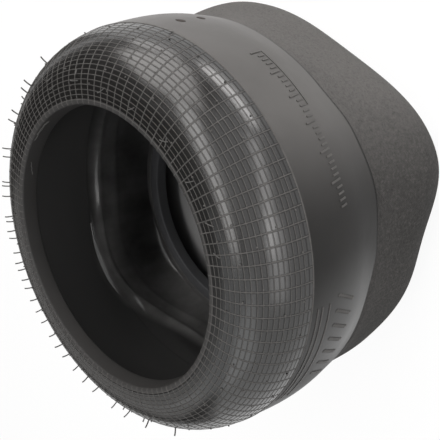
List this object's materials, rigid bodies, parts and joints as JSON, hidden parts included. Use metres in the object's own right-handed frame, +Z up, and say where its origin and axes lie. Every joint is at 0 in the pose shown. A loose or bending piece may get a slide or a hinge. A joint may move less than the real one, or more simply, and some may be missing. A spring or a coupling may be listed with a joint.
{
  "type": "air spring bellows",
  "caption": "Moulded rubber rolling-lobe sleeve for an air spring, open at both ends, with cord plies in its wall and a wire-cored bead round each mouth.",
  "frame": {"origin": "on the bellows' axis, at the height of the surface that its lower lobe stands on", "axes": "+Z up along the axis, out of the plate-end mouth; +X towards the side that is uppermost in the picture; -Y towards the picture's camera"},
  "size_m": [0.2701, 0.28, 0.155],
  "materials": {
    "cover_rubber": "satin moulded rubber, ribbed on the shoulder and cloth-marked on the lobe",
    "cord_ply": "rubber-coated textile cord",
    "liner_rubber": "smooth satin rubber",
    "chafer_rubber": "smooth rubbered fabric",
    "bead_wire": "bronze-coated steel wire",
    "wrap_fabric": "rubbered square-woven fabric",
    "filler_rubber": "hard matt rubber"
  },
  "bodies": {
    "piston_end": {"outer_cover": "cover_rubber", "outer_cord_ply": "cord_ply", "inner_cord_ply": "cord_ply", "inner_liner": "liner_rubber", "bottom_chafer": "chafer_rubber", "bottom_bead_wires": "bead_wire", "bottom_bead_wrap": "wrap_fabric", "bottom_bead_filler": "filler_rubber"},
    "plate_end": {"top_chafer": "chafer_rubber", "top_bead_wires": "bead_wire", "top_bead_wrap": "wrap_fabric", "top_bead_filler": "filler_rubber"}
  },
  "joints": [
    {"name": "stroke", "type": "slide", "parent": "piston_end", "child": "plate_end", "axis": [0, 0, 1], "range_m": [-0.04, 0.012], "stiffness_N_per_m": 3000, "deforming": ["outer_cover", "outer_cord_ply", "inner_cord_ply", "inner_liner"]}
  ]
}
